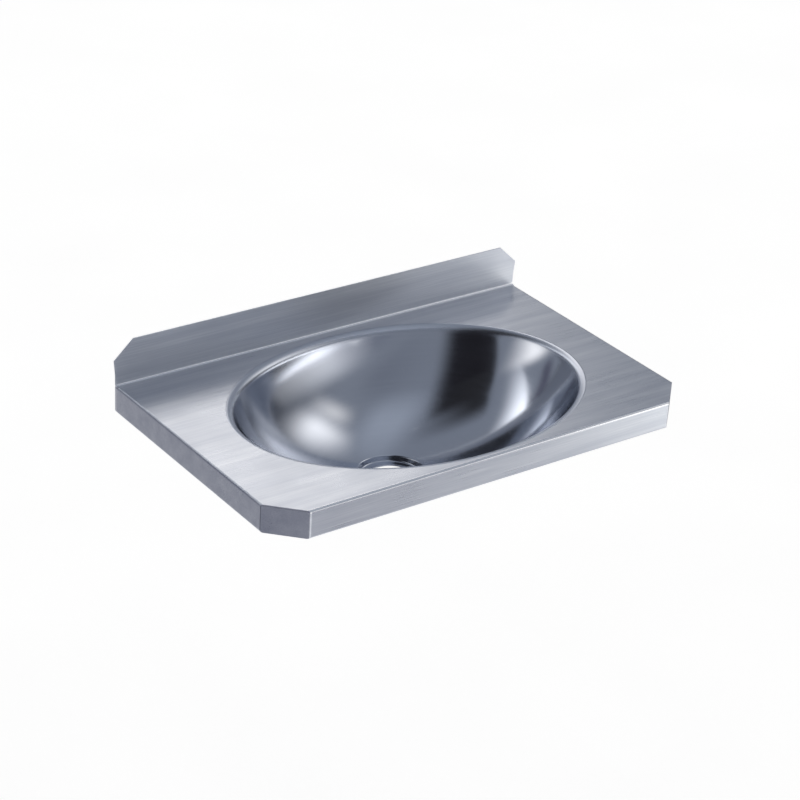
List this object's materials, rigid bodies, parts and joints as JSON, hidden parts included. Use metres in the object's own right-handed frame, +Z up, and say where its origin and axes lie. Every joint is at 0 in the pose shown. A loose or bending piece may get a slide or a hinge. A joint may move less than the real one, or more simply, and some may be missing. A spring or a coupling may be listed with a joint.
{
  "type": "wash basin",
  "caption": "Wall-hung stainless steel wash basin: folded deck with an upstand, pressed oval bowl with a round waste recess, and folded wall brackets.",
  "frame": {"origin": "middle of the four wall slots, in the wall plane, 35 mm below the top of the deck", "axes": "+X along the wall to the right as seen from the room, +Y into the wall, +Z up"},
  "size_m": [0.503, 0.305, 0.159],
  "materials": {
    "satin_steel": "satin brushed stainless steel",
    "polished_steel": "mirror polished stainless steel",
    "bracket_steel": "mill finish stainless steel",
    "fixing_steel": "plain stainless fixings",
    "damping_pad": "bitumen felt"
  },
  "bodies": {
    "root": {"deck": "satin_steel", "bowl": "polished_steel", "bracket_left": "bracket_steel", "bracket_right": "bracket_steel", "deck_studs": "fixing_steel", "stud_washers": "fixing_steel", "stud_nuts": "fixing_steel", "corner_tab_left": "satin_steel", "corner_tab_right": "satin_steel", "sound_pad_left": "damping_pad", "sound_pad_right": "damping_pad", "earth_tag": "satin_steel", "earth_screw": "fixing_steel", "earth_washers": "fixing_steel", "earth_nut": "fixing_steel"}
  },
  "joints": []
}
